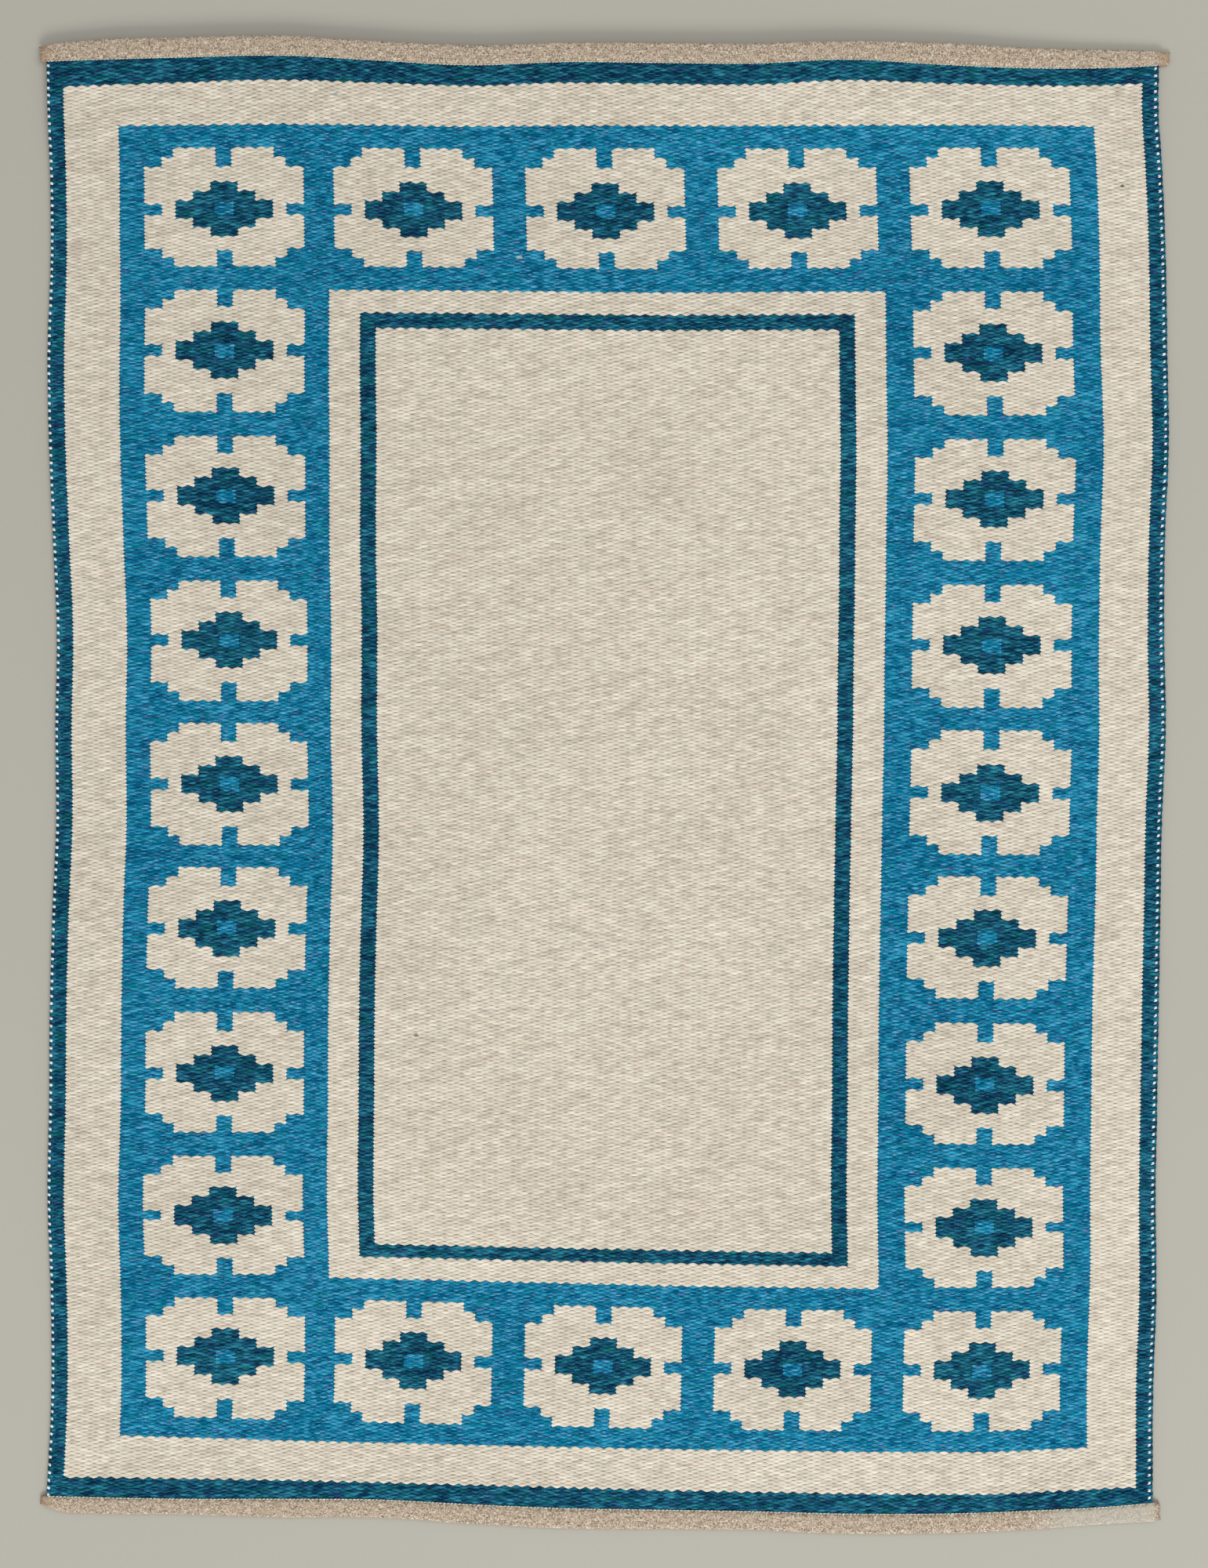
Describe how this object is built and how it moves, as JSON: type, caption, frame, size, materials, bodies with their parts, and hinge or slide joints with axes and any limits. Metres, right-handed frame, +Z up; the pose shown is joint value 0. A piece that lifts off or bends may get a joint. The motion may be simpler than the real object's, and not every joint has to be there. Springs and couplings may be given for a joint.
{
  "type": "double-sided flat-woven rug",
  "caption": "Flat rectangular woven wool rug with a frame of stepped rosettes, wavy selvedges and a linen tape folded over each end.",
  "frame": {"origin": "under the middle of the rug, on the surface that it lies on", "axes": "+X across the rug along the weft, +Y along its warps towards the end that lies a little off the surface, +Z up"},
  "size_m": [1.4403, 1.9106, 0.015],
  "materials": {
    "wool_weave": "matte",
    "linen_tape": "matte"
  },
  "bodies": {
    "root": {"woven_cloth": "wool_weave", "binding_tape_far": "linen_tape", "binding_tape_near": "linen_tape"}
  },
  "joints": []
}
